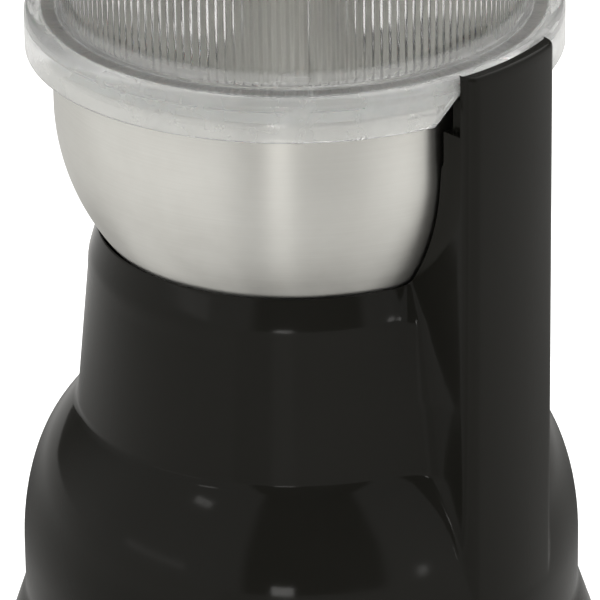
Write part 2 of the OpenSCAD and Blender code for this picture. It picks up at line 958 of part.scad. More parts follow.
module blade_shaft() {
    disc_z = coupling_z + 3.5 + dog_h + 0.5;
    color("#c9cacc") {
        disc(blade_shaft_r, disc_z, blade_z + 3);
        disc(blade_shaft_r + 2.2, stem_top_z + 1.5, blade_z);
        translate([0, 0, blade_z + 1.6])
            cylinder(r = 5.5, h = 3.4, $fn = 6);
        disc(3.4, blade_z + 4.9, blade_z + 6.4);
    }
    color("#20201f") {
        disc(coupling_r, disc_z, disc_z + 2.5);
        dogs(disc_z - dog_h, disc_z + e, 35);
    }
}

// one arm: a flat bar that bends up or down and narrows to its tip
module blade_arm(tilt, reach) {
    translate([6, 0, 0])
        rotate([0, -tilt, 0])
            linear_extrude(1.6)
                polygon([[-2, -4.5], [reach - 9, -4.5], [reach - 6, -1], [reach - 6, 3.4], [-2, 4.5]]);
}

module blade() {
    color("#d3d4d6")
        translate([0, 0, blade_z])
            difference() {
                union() {
                    cylinder(r = 6.5, h = 1.6);
                    blade_arm(0, blade_reach);
                    rotate(180)
                        blade_arm(0, blade_reach);
                    rotate(90)
                        blade_arm(24, blade_reach - 4);
                    rotate(270)
                        blade_arm(24, blade_reach - 4);
                }
                disc(blade_shaft_r, -1, 3);
                // the bent arms' roots end level with the eye's underside
                disc(blade_shaft_r + 5, -4, 0);
            }
}

// ---------- lid ----------

module lid_outline() {
    top = lid_top_z;
    rotate_extrude()
        polygon(concat(
            [[0, flange_z], [bowl_r - bowl_wall - 0.75, flange_z]],
            [[lid_skirt_r, flange_z], [lid_skirt_r, flange_top_z - 1.5]],
            [[lid_skirt_r - 0.5, flange_top_z - 0.5], [lid_skirt_r - 1.5, flange_top_z]],
            [[lid_r, flange_top_z]],
            [for (i = [0:8]) let (a = 90 * i / 8)
                [lid_r - lid_round * (1 - cos(a)), top - lid_round * (1 - sin(a))]],
            [[0, top]]
        ));
}

module lid_inside() {
    r = lid_in_r - rib_depth - 0.1;
    inner_round = lid_round - lid_wall;
    top = lid_top_z - lid_wall;
    rotate_extrude()
        polygon(concat(
            [[0, flange_z - 1], [r, flange_z - 1]],
            [for (i = [0:6]) let (a = 90 * i / 6)
                [r - inner_round * (1 - cos(a)), top - inner_round * (1 - sin(a))]],
            [[0, top]]
        ));
    translate([0, 0, flange_z - 1])
        linear_extrude(lid_top_z - lid_round - 1.5 - flange_z + 1)
            rib_plan();
}

// the ribbed inner wall: one point at each crest and one in each valley
module rib_plan() {
    step = 360 / rib_count;
    polygon([
        for (i = [0:rib_count - 1], k = [0:1])
            let (a = (i + k / 2) * step, r = lid_in_r - (k == 0 ? 0 : rib_depth))
                [r * cos(a), r * sin(a)]
    ]);
}

module lid_cover() {
    spigot_r = bowl_r - bowl_wall - 0.75;
    gap_half = key_half + 1.2;
    rise = flange_z - lid_skirt_z;
    color("#dfe3e2", 0.35) {
        difference() {
            union() {
                lid_outline();
                ring(lid_skirt_r, lid_skirt_r - lid_skirt_wall, lid_skirt_z, flange_z + e);
                ring(spigot_r, spigot_r - 2.4, lid_skirt_z - 1.7, flange_z + e);
            }
            lid_inside();
            ring(seal_out_r + 0.1, seal_in_r - 0.1, flange_z - e, flange_z + seal_groove);
            // gap in the skirt, over the pillar's key
            translate([seal_in_r + 0.2, 0, 0])
                rotate([90, 0, 90])
                    linear_extrude(lid_skirt_r - seal_in_r)
                        polygon([
                            [-gap_half - rise, lid_skirt_z - 1], [-gap_half - rise, lid_skirt_z],
                            [-gap_half, flange_z], [gap_half, flange_z],
                            [gap_half + rise, lid_skirt_z], [gap_half + rise, lid_skirt_z - 1]
                        ]);
        }
    }
}

module lid_seal() {
    color("#e4e2da")
        ring(seal_out_r, seal_in_r, bowl_rim_z, flange_z + seal_groove);
}

// ---------- switch ----------

module push_rod() {
    color("#bfc1c3") {
        translate([rod_x, 0, 0]) {
            disc(rod_r, switch_top_z, flange_z - 0.2);
            disc(rod_r + 0.85, collar_z, collar_z + 2);
        }
    }
}

// a coil spring drawn as a stack of closed turns
module rod_spring() {
    z0 = guide_z + guide_t;
    pitch = (collar_z - z0) / spring_turns;
    color("#a9abad")
        translate([rod_x, 0, 0])
            for (i = [0:spring_turns - 1])
                translate([0, 0, z0 + pitch * (i + 0.5)])
                    rotate_extrude()
                        translate([rod_r + 0.5, 0])
                            circle(r = 0.25, $fn = 16);
}

module microswitch() {
    z = switch_z - switch_h;
    color("#1f2a44")
        difference() {
            union() {
                block(switch_x, switch_x + switch_w, -switch_l / 2, switch_l / 2, z, switch_z);
            }
            for (side = [-1, 1])
                translate([switch_x + switch_w / 2, side * (switch_l / 2 - 2.8), 0])
                    disc(1.25, z - 1, switch_z + 1);
            translate([rod_x, 0, 0])
                disc(rod_r - 0.2, switch_z - 3, switch_z + 1);
        }
}

module switch_plunger() {
    color("#d94b34")
        translate([rod_x, 0, 0])
            disc(rod_r - 0.25, switch_z - 1, switch_top_z);
}

module switch_screw(side) {
    z = switch_z - switch_h;
    color("silver")
        translate([switch_x + switch_w / 2, side * (switch_l / 2 - 2.8), 0]) {
            disc(2, switch_z, switch_z + 1.3);
            disc(1.05, z - shelf_t - 1.5, switch_z + e);
        }
}

housing();
bottom_cover();
foot(1);  // foot_1
foot(2);  // foot_2
foot(3);  // foot_3
foot(4);  // foot_4
cover_screw(1);  // cover_screw_1
cover_screw(2);  // cover_screw_2
cover_screw(3);  // cover_screw_3
cover_screw(4);  // cover_screw_4
cord_gland();
cord_clamp();
clamp_screw(-1);  // clamp_screw_1
clamp_screw(1);  // clamp_screw_2
terminal_block();
capacitor();
lead_live();
lead_neutral();
well_seal();
motor_top_bracket();
motor_bottom_bracket();
motor_mount(1, 1);  // motor_mount_1
motor_mount(-1, 1);  // motor_mount_2
motor_mount(-1, -1);  // motor_mount_3
motor_mount(1, -1);  // motor_mount_4
mount_screw(1, 1);  // mount_screw_1
mount_screw(-1, 1);  // mount_screw_2
mount_screw(-1, -1);  // mount_screw_3
mount_screw(1, -1);  // mount_screw_4
motor_bolt(1);  // motor_bolt_1
motor_bolt(-1);  // motor_bolt_2
stator_core();
field_coil(1);  // field_coil_1
field_coil(-1);  // field_coil_2
bearing_top();
bearing_bottom();
brush_holder(1);  // brush_holder_1
brush_holder(-1);  // brush_holder_2
carbon_brush(1);  // carbon_brush_1
carbon_brush(-1);  // carbon_brush_2
microswitch();
switch_screw(1);  // switch_screw_1
switch_screw(-1);  // switch_screw_2
rod_spring();
push_rod();
switch_plunger();
motor_shaft();
armature_core();
armature_winding();
commutator();
cooling_fan();
drive_coupling();
bowl();
bowl_hub();
hub_nut();
bowl_bush();
blade_shaft();
blade();
lid_cover();
lid_seal();
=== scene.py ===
"""Looks of the electric spice grinder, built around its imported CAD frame."""

import json
import math

import bmesh
import bpy
from mathutils import Matrix, Vector


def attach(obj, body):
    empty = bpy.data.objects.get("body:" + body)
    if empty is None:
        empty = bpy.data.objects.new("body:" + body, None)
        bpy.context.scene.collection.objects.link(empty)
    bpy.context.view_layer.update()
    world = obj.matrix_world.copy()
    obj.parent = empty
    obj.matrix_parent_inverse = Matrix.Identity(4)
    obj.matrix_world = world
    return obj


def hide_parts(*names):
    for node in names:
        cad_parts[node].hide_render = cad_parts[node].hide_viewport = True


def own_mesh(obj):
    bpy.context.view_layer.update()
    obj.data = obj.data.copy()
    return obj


MM = 0.001
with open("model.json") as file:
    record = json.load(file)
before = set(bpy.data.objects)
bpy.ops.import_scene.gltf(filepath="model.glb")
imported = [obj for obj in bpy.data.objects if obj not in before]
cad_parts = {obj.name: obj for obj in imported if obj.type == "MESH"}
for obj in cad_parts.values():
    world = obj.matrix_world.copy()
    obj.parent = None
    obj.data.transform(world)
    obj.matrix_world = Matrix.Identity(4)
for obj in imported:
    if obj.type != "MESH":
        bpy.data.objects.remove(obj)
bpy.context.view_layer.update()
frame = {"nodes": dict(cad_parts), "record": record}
scene = bpy.context.scene


# ---------- camera ----------

CAMERA_AZIMUTH = -49.4
CAMERA_ELEVATION = 24.8
CAMERA_ROLL = -0.74
CAMERA_DISTANCE = 1.2
CAMERA_TARGET = (0.0, 0.0, 0.0814)
CAMERA_LENS = 349.2
CAMERA_SENSOR = 36.0
CAMERA_SHIFT_X = 0.0027
CAMERA_CLIP = (0.05, 60.0)


def direction(azimuth, elevation):
    """Unit vector from the object towards azimuth and elevation, in degrees."""
    a, e = math.radians(azimuth), math.radians(elevation)
    return Vector((math.cos(a) * math.cos(e), math.sin(a) * math.cos(e), math.sin(e)))


def make_camera():
    back = direction(CAMERA_AZIMUTH, CAMERA_ELEVATION)
    right = Vector((-back.y, back.x, 0)).normalized()
    up = back.cross(right)
    roll = math.radians(CAMERA_ROLL)
    side = right * math.cos(roll) + up * math.sin(roll)
    top = up * math.cos(roll) - right * math.sin(roll)
    data = bpy.data.cameras.new("camera")
    data.lens = CAMERA_LENS
    data.sensor_width = CAMERA_SENSOR
    data.shift_x = CAMERA_SHIFT_X
    data.clip_start, data.clip_end = CAMERA_CLIP
    camera = bpy.data.objects.new("camera", data)
    scene.collection.objects.link(camera)
    matrix = Matrix((side, top, back)).transposed().to_4x4()
    matrix.translation = Vector(CAMERA_TARGET) + back * CAMERA_DISTANCE
    camera.matrix_world = matrix
    scene.camera = camera


make_camera()


# ---------- node helpers ----------

class Shader:
    """A node tree with short names for the nodes that the materials use."""

    def __init__(self, tree):
        self.tree = tree
        tree.nodes.clear()

    def add(self, kind, **inputs):
        made = self.tree.nodes.new(kind)
        for name, value in inputs.items():
            self.put(made, name.replace("_", " "), value)
        return made

    def put(self, node, socket, value):
        """Links a socket, or sets its value."""
        target = node.inputs[socket]
        if isinstance(value, bpy.types.NodeSocket):
            self.tree.links.new(value, target)
        else:
            target.default_value = value

    def math(self, operation, a, b=0.0, c=0.0):
        made = self.tree.nodes.new("ShaderNodeMath")
        made.operation = operation
        for index, value in enumerate((a, b, c)):
            self.put(made, index, value)
        return made.outputs[0]

    def noise(self, vector, scale, detail=3.0, roughness=0.5, w=None):
        made = self.tree.nodes.new("ShaderNodeTexNoise")
        if w is not None:
            made.noise_dimensions = "4D"
            self.put(made, "W", w)
        self.put(made, "Vector", vector)
        self.put(made, "Scale", scale)
        self.put(made, "Detail", detail)
        self.put(made, "Roughness", roughness)
        return made.outputs[0]

    def spread(self, value, low, high, to_low, to_high, smooth=False):
        """Maps value from low..high to to_low..to_high, held at both ends."""
        made = self.tree.nodes.new("ShaderNodeMapRange")
        if smooth:
            made.interpolation_type = "SMOOTHSTEP"
        for index, number in enumerate((value, low, high, to_low, to_high)):
            self.put(made, index, number)
        return made.outputs[0]

    def colors(self, factor, first, second):
        made = self.tree.nodes.new("ShaderNodeMix")
        made.data_type = "RGBA"
        self.put(made, 0, factor)
        self.put(made, 6, rgba(first))
        self.put(made, 7, rgba(second))
        return made.outputs[2]

    def bump(self, height, strength, distance):
        made = self.tree.nodes.new("ShaderNodeBump")
        self.put(made, "Height", height)
        self.put(made, "Strength", strength)
        self.put(made, "Distance", distance)
        return made.outputs[0]

    def place(self):
        """Object coordinates, which are the row frame in metres."""
        return self.tree.nodes.new("ShaderNodeTexCoord").outputs["Object"]


def rgba(color):
    if isinstance(color, bpy.types.NodeSocket) or len(color) == 4:
        return color
    return (*color, 1.0)


def new_material(name):
    material = bpy.data.materials.new(name)
    material.use_nodes = True
    shader = Shader(material.node_tree)
    body = shader.add("ShaderNodeBsdfPrincipled")
    out = shader.add("ShaderNodeOutputMaterial")
    shader.put(out, "Surface", body.outputs[0])
    return material, shader, body


def grained(name, dark, light, rough, scale, bump=0.1, **sockets):
    """A material with two tones, an uneven finish and a fine grain."""
    depth = 0.00005
    material, s, body = new_material(name)
    tone = s.noise(s.place(), scale * 0.12, 4.0, 0.6)
    grain = s.noise(s.place(), scale, 3.0, 0.55)
    s.put(body, "Base Color", s.colors(s.spread(tone, 0.3, 0.7, 0.0, 1.0), dark, light))
    s.put(body, "Roughness", s.spread(grain, 0.25, 0.75, rough[0], rough[1]))
    s.put(body, "Normal", s.bump(grain, bump, depth))
    for socket, value in sockets.items():
        s.put(body, socket.replace("_", " "), value)
    return material


# ---------- materials ----------

def base_plastic():
    """Glossy black moulding with a faint orange peel and handling smears."""
    material, s, body = new_material("base_gloss")
    place = s.place()
    peel = s.noise(place, 150.0, 2.0, 0.5)
    smear = s.noise(place, 34.0, 5.0, 0.62)
    dust = s.noise(place, 1400.0, 2.0, 0.6)
    s.put(body, "Base Color", s.colors(smear, (0.0112, 0.0108, 0.0088), (0.0142, 0.0138, 0.0118)))
    worn = s.spread(smear, 0.45, 0.75, 0.085, 0.17)
    s.put(body, "Roughness", s.math("ADD", worn, s.spread(dust, 0.55, 0.8, 0.0, 0.04)))
    s.put(body, "Normal", s.bump(peel, 0.12, 0.00012))
    s.put(body, "Specular IOR Level", 0.11)
    s.put(body, "IOR", 1.48)
    return material


def brushed(name, dark, light, rough, anisotropy):
    """Steel brushed around the Z axis."""
    streak, around_scale, fine_scale = 0.35, 1.6, 2600.0
    material, s, body = new_material(name)
    place = s.place()
    split = s.add("ShaderNodeSeparateXYZ", Vector=place)
    flat = s.add("ShaderNodeCombineXYZ", X=split.outputs[0], Y=split.outputs[1])
    length = s.tree.nodes.new("ShaderNodeVectorMath")
    length.operation = "LENGTH"
    s.put(length, 0, flat.outputs[0])
    radius = length.outputs["Value"]
    around = s.tree.nodes.new("ShaderNodeVectorMath")
    around.operation = "NORMALIZE"
    s.put(around, 0, flat.outputs[0])
    turned = s.add("ShaderNodeSeparateXYZ", Vector=around.outputs[0])
    line = s.add(
        "ShaderNodeCombineXYZ",
        X=s.math("MULTIPLY", turned.outputs[0], around_scale),
        Y=s.math("MULTIPLY", turned.outputs[1], around_scale),
        Z=s.math("MULTIPLY", split.outputs[2], fine_scale),
    ).outputs[0]
    scratch = s.noise(line, 1.0, 5.0, 0.7, w=s.math("MULTIPLY", radius, fine_scale))
    cloud = s.noise(place, 42.0, 4.0, 0.6)
    tone = s.math("MULTIPLY_ADD", s.math("SUBTRACT", scratch, 0.5), streak, cloud)
    s.put(body, "Base Color", s.colors(s.spread(tone, 0.25, 0.75, 0.0, 1.0), dark, light))
    s.put(body, "Metallic", 1.0)
    s.put(body, "Roughness", s.spread(tone, 0.2, 0.8, rough[0], rough[1]))
    s.put(body, "Anisotropic", anisotropy)
    s.put(body, "Anisotropic Rotation", 0.25)
    tangent = s.tree.nodes.new("ShaderNodeTangent")
    tangent.direction_type = "RADIAL"
    tangent.axis = "Z"
    s.put(body, "Tangent", tangent.outputs[0])
    s.put(body, "Normal", s.bump(scratch, 0.1, 0.00003))
    return material


def clear_plastic():
    """Clear moulding with flow marks and fine scuffs, hazy in its flange and skirt."""
    haze_end, clear_start = 0.1505, 0.152
    haze_low, haze_high = 0.26, 0.02
    material, s, body = new_material("lid_clear")
    place = s.place()
    height = s.add("ShaderNodeSeparateXYZ", Vector=place).outputs[2]
    flow = s.noise(place, 38.0, 3.0, 0.55)
    scuff = s.noise(place, 420.0, 5.0, 0.65)
    cloud = s.noise(place, 90.0, 4.0, 0.6)
    s.put(body, "Base Color", s.colors(flow, (0.955, 0.96, 0.95), (0.985, 0.987, 0.98)))
    thick = s.spread(height, haze_end, clear_start, haze_low, haze_high, smooth=True)
    haze = s.math("MULTIPLY", thick, s.spread(cloud, 0.3, 0.7, 0.75, 1.15))
    s.put(body, "Transmission Weight", s.math("SUBTRACT", 1.0, haze))
    s.put(body, "IOR", 1.49)
    s.put(body, "Specular IOR Level", 0.35)
    s.put(body, "Roughness", s.spread(scuff, 0.4, 0.8, 0.03, 0.14))
    s.put(body, "Normal", s.bump(flow, 0.10, 0.0005))
    return material


def wound_copper():
    """Enamelled wire and bars, with turns across the height."""
    material, s, body = new_material("copper")
    place = s.place()
    split = s.add("ShaderNodeSeparateXYZ", Vector=place)
    turns = s.math("SINE", s.math("MULTIPLY", split.outputs[2], 9000.0))
    grain = s.noise(place, 900.0, 3.0, 0.6)
    s.put(body, "Base Color", s.colors(grain, (0.42, 0.14, 0.05), (0.72, 0.31, 0.13)))
    s.put(body, "Metallic", 0.85)
    s.put(body, "Roughness", s.spread(grain, 0.3, 0.7, 0.22, 0.4))
    s.put(body, "Normal", s.bump(turns, 0.5, 0.0002))
    return material


def stacked_steel():
    """Sheet steel laminations, seen as thin lines across the height."""
    material, s, body = new_material("lamination_steel")
    place = s.place()
    split = s.add("ShaderNodeSeparateXYZ", Vector=place)
    sheets = s.math("SINE", s.math("MULTIPLY", split.outputs[2], 6300.0))
    grain = s.noise(place, 600.0, 4.0, 0.6)
    s.put(body, "Base Color", s.colors(grain, (0.17, 0.17, 0.18), (0.36, 0.36, 0.38)))
    s.put(body, "Metallic", 0.9)
    s.put(body, "Roughness", s.spread(grain, 0.3, 0.7, 0.35, 0.55))
    s.put(body, "Normal", s.bump(sheets, 0.6, 0.00015))
    return material


GRAINED = [
    # slot, dark tone, light tone, roughness, grain scale, other values
    ("inner_plastic", (0.011, 0.0105, 0.009), (0.019, 0.018, 0.016), (0.36, 0.5), 900.0, {}),
    ("rubber", (0.012, 0.012, 0.012), (0.022, 0.021, 0.02), (0.6, 0.8), 1500.0, {}),
    ("pale_plastic", (0.6, 0.57, 0.48), (0.7, 0.67, 0.59), (0.4, 0.55), 700.0, {}),
    ("capacitor_yellow", (0.5, 0.33, 0.04), (0.62, 0.44, 0.07), (0.3, 0.45), 700.0, {}),
    ("lead_brown", (0.09, 0.028, 0.012), (0.14, 0.05, 0.02), (0.4, 0.55), 900.0, {}),
    ("lead_blue", (0.012, 0.045, 0.2), (0.02, 0.07, 0.3), (0.4, 0.55), 900.0, {}),
    ("bracket_aluminium", (0.5, 0.5, 0.49), (0.66, 0.66, 0.65), (0.35, 0.55), 1100.0,
     {"bump": 0.25, "Metallic": 1.0}),
    ("brass", (0.62, 0.42, 0.15), (0.78, 0.56, 0.24), (0.2, 0.35), 800.0, {"Metallic": 1.0}),
    ("carbon", (0.012, 0.012, 0.013), (0.03, 0.03, 0.032), (0.45, 0.6), 1600.0, {}),
    ("switch_blue", (0.01, 0.016, 0.05), (0.018, 0.027, 0.08), (0.35, 0.5), 800.0, {}),
    ("switch_red", (0.4, 0.03, 0.012), (0.55, 0.05, 0.022), (0.3, 0.45), 900.0, {}),
    ("coupling_black", (0.01, 0.01, 0.01), (0.018, 0.018, 0.017), (0.5, 0.65), 1200.0, {}),
    ("seal_silicone", (0.66, 0.655, 0.62), (0.76, 0.755, 0.72), (0.4, 0.55), 700.0,
     {"Subsurface_Weight": 0.15}),
    ("steel_hardware", (0.5, 0.5, 0.5), (0.66, 0.66, 0.67), (0.22, 0.4), 1300.0, {"Metallic": 1.0}),
]
BRUSHED = [
    # slot, dark tone, light tone, roughness, anisotropy
    ("bowl_steel", (0.71, 0.70, 0.66), (0.85, 0.845, 0.805), (0.34, 0.44), 0.9),
    ("blade_steel", (0.52, 0.52, 0.52), (0.68, 0.68, 0.68), (0.2, 0.32), 0.3),
]
MATERIALS = {
    "base_gloss": base_plastic(),
    "lamination_steel": stacked_steel(),
    "copper": wound_copper(),
    "lid_clear": clear_plastic(),
}
MATERIALS.update((row[0], brushed(*row)) for row in BRUSHED)
MATERIALS.update((row[0], grained(*row[:-1], **row[-1])) for row in GRAINED)


def paint_cad_nodes():
    """Each CAD piece takes the material of its slot in the record."""
    for entry in frame["record"]["subparts"]:
        mesh = frame["nodes"][entry["node"]].data
        mesh.materials.clear()
        mesh.materials.append(MATERIALS[entry["material_slot"]])


# ---------- mesh helpers, all in millimetres ----------

class Shape:
    """Points and faces of a mesh while it is being built."""

    def __init__(self):
        self.points = []
        self.faces = []

    def point(self, x, y, z):
        self.points.append((x, y, z))
        return len(self.points) - 1

    def polar(self, radius, angle, z):
        return self.point(radius * math.cos(angle), radius * math.sin(angle), z)

    def rows(self, first, second, closed=False):
        """Quads between two rows of the same length."""
        count = len(first)
        for i in range(count if closed else count - 1):
            j = (i + 1) % count
            self.face(first[i], first[j], second[j], second[i])

    def face(self, *corners):
        kept = [c for i, c in enumerate(corners) if c not in corners[:i]]
        if len(kept) > 2:
            self.faces.append(tuple(kept))

    def zip(self, first, second):
        """Joins two lines of (key, point), whose keys rise, with quads and triangles."""
        i = j = 0
        while i < len(first) - 1 or j < len(second) - 1:
            next_a = first[i + 1][0] if i < len(first) - 1 else math.inf
            next_b = second[j + 1][0] if j < len(second) - 1 else math.inf
            step_a = next_a <= next_b + 1e-7
            step_b = next_b <= next_a + 1e-7
            ni, nj = i + step_a, j + step_b
            self.face(first[i][1], first[ni][1], second[nj][1], second[j][1])
            i, j = ni, nj

    def build(self, name, material, sharp=35.0):
        mesh = bpy.data.meshes.new(name)
        mesh.from_pydata([Vector(p) * MM for p in self.points], [], self.faces)
        edit = bmesh.new()
        edit.from_mesh(mesh)
        bmesh.ops.recalc_face_normals(edit, faces=edit.faces)
        edit.to_mesh(mesh)
        edit.free()
        obj = bpy.data.objects.new(name, mesh)
        scene.collection.objects.link(obj)
        mesh.materials.append(material)
        finish_surface(mesh, sharp)
        return obj


def finish_surface(mesh, sharp):
    """Smooth faces, with sharp edges above an angle in degrees."""
    mesh.polygons.foreach_set("use_smooth", [True] * len(mesh.polygons))
    mesh.set_sharp_from_angle(angle=math.radians(sharp))
    mesh.update()


def cut(obj, tool, operation, sharp=35.0):
    """Applies one exact boolean and removes the tool."""
    modifier = obj.modifiers.new("cut", "BOOLEAN")
    modifier.operation = operation
    modifier.solver = "EXACT"
    modifier.object = tool
    graph = bpy.context.evaluated_depsgraph_get()
    mesh = bpy.data.meshes.new_from_object(obj.evaluated_get(graph))
    obj.modifiers.clear()
    old = obj.data
    obj.data = mesh
    mesh.name = old.name
    bpy.data.meshes.remove(old)
    tool_mesh = tool.data
    bpy.data.objects.remove(tool)
    bpy.data.meshes.remove(tool_mesh)
    finish_surface(mesh, sharp)


def prism(name, plan, levels, material):
    """A closed solid: plan(inset) gives the outline at each (z, inset) of levels."""
    shape = Shape()
    loops = [[shape.point(x, y, z) for x, y in plan(inset)] for z, inset in levels]
    for low, high in zip(loops, loops[1:]):
        shape.rows(low, high, closed=True)
    shape.face(*reversed(loops[0]))
    shape.face(*loops[-1])
    return shape.build(name, material)


def box_plan(x0, x1, half):
    return lambda inset: [(x0, -half), (x1, -half), (x1, half), (x0, half)]


def circle_plan(x, y, radius):
    count = 48
    return lambda inset: [
        (x + radius * math.cos(math.tau * i / count), y + radius * math.sin(math.tau * i / count))
        for i in range(count)
    ]


def arc(x, z, radius_x, radius_z, start, end, count):
    """Points on an ellipse's arc, with angles in degrees."""
    out = []
    for i in range(count + 1):
        a = math.radians(start + (end - start) * i / count)
        out.append((x + radius_x * math.cos(a), z + radius_z * math.sin(a)))
    return out


def lathe(name, profile, count, material, sharp=35.0):
    """Turns a closed loop of (radius, z) around the axis."""
    shape = Shape()
    rings = [[shape.polar(r, math.tau * i / count, z) for i in range(count)] for r, z in profile]
    for first, second in zip(rings, rings[1:] + rings[:1]):
        shape.rows(first, second, closed=True)
    return shape.build(name, material, sharp)


def blend_between(low, high, value):
    """0 below low, 1 above high, smooth between."""
    t = min(max((value - low) / (high - low), 0.0), 1.0)
    return t * t * (3 - 2 * t)


# ---------- housing ----------

POLE_X = 36.0            # the outline is drawn as seen from this point on the X axis
FACE_R = 58.0            # outer face of the switch pillar
SIDE_X = 56.44           # a point on the pillar's side, and the slope at which it closes
SIDE_Y = 13.7
SIDE_SLOPE = math.tan(math.radians(7))
SIDE_FALL = 25           # loss of reach a radian, behind the pole
EDGE_R = 3.0             # rounding of the pillar's two outer edges
FILLET = 12.0            # at the foot of the pillar, shrinking to the one at the rim
FILLET_Z = 60.0          # the fillet shrinks above this height
RIM_FILLET = 1.2
BLEND_WIDTH = 1.7        # width of the blend that makes a fillet of 1
BLEND_ROOM = 0.95        # share of the step from body to pillar that a blend may take
CREASE = 5.0             # width of the soft crease between pedestal and dome
CONE_R = 43.22           # the pedestal at CONE_Z, under its rounded rim
CONE_Z = 90.0
CONE_SLOPE = 0.097
DOME_R = 58.1            # the dome at its widest, which is upright below DOME_FOOT_Z
DOME_FOOT_Z = 25.0
TOP_Z = 149.5            # the pillar's top
LEDGE_Z = 136.5          # the ledge behind it, under the lid's skirt
WALL_Z = 130.0           # the upright wall below the ledge
RIM_Z = 100.4            # the rim around the well, away from the pillar
PLATE_R = 55.2           # inner side of the pillar's top
WELL_R = 50.6            # the wall below the ledge
WELL_X = 3.15            # the well's side is an arc around this point
WELL_MID = 127.8
WELL_ARC = 46.6
WELL_FLOOR_R = 22.0
WELL_SHELL = 1.8         # wall thickness of the well
BASE_SHELL = 2.4         # wall thickness of the base's outside
RIM_IN = WELL_X + math.sqrt(WELL_ARC ** 2 - (WELL_MID - RIM_Z) ** 2)
FOOT_Z = 2.0
TOP_ROUND = {TOP_Z: 0.8, 149.42: 0.5, 149.22: 0.24, 148.95: 0.08}    # inset at each height
KEY_HALF = 11.1          # the key on the ledge, between two arcs
KEY_IN_R = 51.2
KEY_OUT_R = 56.6
KEY_LEVELS = [(135.2, 0), (143.05, 0), (143.37, 0.13), (143.5, 0.45)]
HOLLOWS = [
    # name, inner x, outer x, half width, bottom, top
    ("cavity", 51.7, 56.1, 10.0, 60.0, 123.5),
    ("switch_room", 42.0, 55.6, 10.8, 46.5, 62.5),
]
ROD_X = 53.6             # the push rod's bore
ROD_BORE_R = 1.6
ROD_BORE_Z = (122.0, 144.0)
GLAND_Z = 25.0           # the gland's hole at the back
GLAND_HOLE_R = 4.35
GLAND_HOLE_Y = (46.0, 66.0)


def smooth_min(a, b, width):
    h = max(width - abs(a - b), 0.0) / width
    return min(a, b) - h * h * width / 4


def smooth_max(a, b, width):
    return -smooth_min(-a, -b, width)


def shoulder_radius(z):
    """The dome of the base: upright at its foot, then an ellipse's arc and its tangent."""
    low, height, width, last = 28.35, 32.4, 16.7, 0.985
    rise = min(max((z - low) / height, 0.0), last)
    steepest = width * last / math.sqrt(1 - last * last) / height
    past = max(z - low - last * height, 0.0)
    return DOME_R - width * (1 - math.sqrt(1 - rise * rise)) - steepest * past


def base_profile():
    """(z, radius) of the base outside, from the rim down."""
    points = [
        (RIM_Z, 40.94), (100.3, 41.03), (100.1, 41.1), (99.7, 41.22), (98.9, 41.46),
        (97.4, 41.91), (95.9, 42.36), (94.9, 42.65), (94.2, 42.83), (93.5, 42.97), (92.8, 43.07),
        (92.1, 43.13), (91.4, 43.17), (CONE_Z, CONE_R),
    ]
    steps = 84
    for i in range(1, steps + 1):
        z = CONE_Z - (CONE_Z - DOME_FOOT_Z) * (i / steps)
        cone = CONE_R + CONE_SLOPE * (CONE_Z - z)
        points.append((z, smooth_max(cone, shoulder_radius(z), CREASE)))
    points += [
        (22.0, DOME_R), (19.6, DOME_R), (18.6, 58.13), (17.5, 58.3), (16.4, 58.65), (14.0, 59.45),
        (11.0, 60.48), (8.0, 61.5), (6.2, 62.1), (5.4, 62.38), (4.8, 62.58), (4.2, 62.75),
        (3.2, 62.88), (2.5, 62.85), (2.15, 62.7), (FOOT_Z, 62.45),
    ]
    return points


PROFILE = base_profile()


def base_radius(z):
    if z > RIM_Z:
        return RIM_IN
    for (z0, r0), (z1, r1) in zip(PROFILE, PROFILE[1:]):
        if z >= z1:
            return r0 + (r1 - r0) * (z0 - z) / (z0 - z1)
    return PROFILE[-1][1]


def well_radius(z):
    if z >= WELL_MID:
        edge = WELL_X + WELL_ARC
        return edge + (WELL_R - edge) * blend_between(WELL_MID, WALL_Z, z)
    return WELL_X + math.sqrt(WELL_ARC ** 2 - (WELL_MID - z) ** 2)


def disc_reach(angle, radius):
    """Distance from the pole to a circle around the axis."""
    across = POLE_X * math.sin(angle)
    return math.sqrt(radius ** 2 - across ** 2) - POLE_X * math.cos(angle)


def side_reach(angle):
    """Distance from the pole to the pillar's tapered side."""
    parallel, far = 1e-3, 1e4
    closing = math.sin(angle) - SIDE_SLOPE * math.cos(angle)
    if closing < parallel:
        return far
    return (SIDE_Y - (SIDE_X - POLE_X) * SIDE_SLOPE) / closing


def edge_circle():
    """Centre of the arc that rounds the pillar's edge, and the pole angles of its two ends."""
    along = Vector((1, SIDE_SLOPE)).normalized()
    across = Vector((-along.y, along.x))
    start = Vector((SIDE_X, SIDE_Y)) - EDGE_R * across
    step = start.dot(along)
    run = math.sqrt(step ** 2 - start.dot(start) + (FACE_R - EDGE_R) ** 2) - step
    centre = start + run * along
    face = centre * FACE_R / (FACE_R - EDGE_R)
    touch = centre + EDGE_R * across
    return centre, math.atan2(face.y, face.x - POLE_X), math.atan2(touch.y, touch.x - POLE_X)


EDGE_CENTRE, EDGE_START, EDGE_END = edge_circle()


def wedge_reach(angle):
    """Distance from the pole to the pillar's outline: face, rounded edge and side."""
    if angle <= EDGE_START:
        return disc_reach(angle, FACE_R)
    if angle >= EDGE_END:
        behind = max(angle - math.pi / 2, 0)
        return side_reach(min(angle, math.pi / 2)) - SIDE_FALL * behind
    x, y = EDGE_CENTRE.x - POLE_X, EDGE_CENTRE.y
    ahead = x * math.cos(angle) + y * math.sin(angle)
    beside = y * math.cos(angle) - x * math.sin(angle)
    return ahead + math.sqrt(EDGE_R ** 2 - beside ** 2)


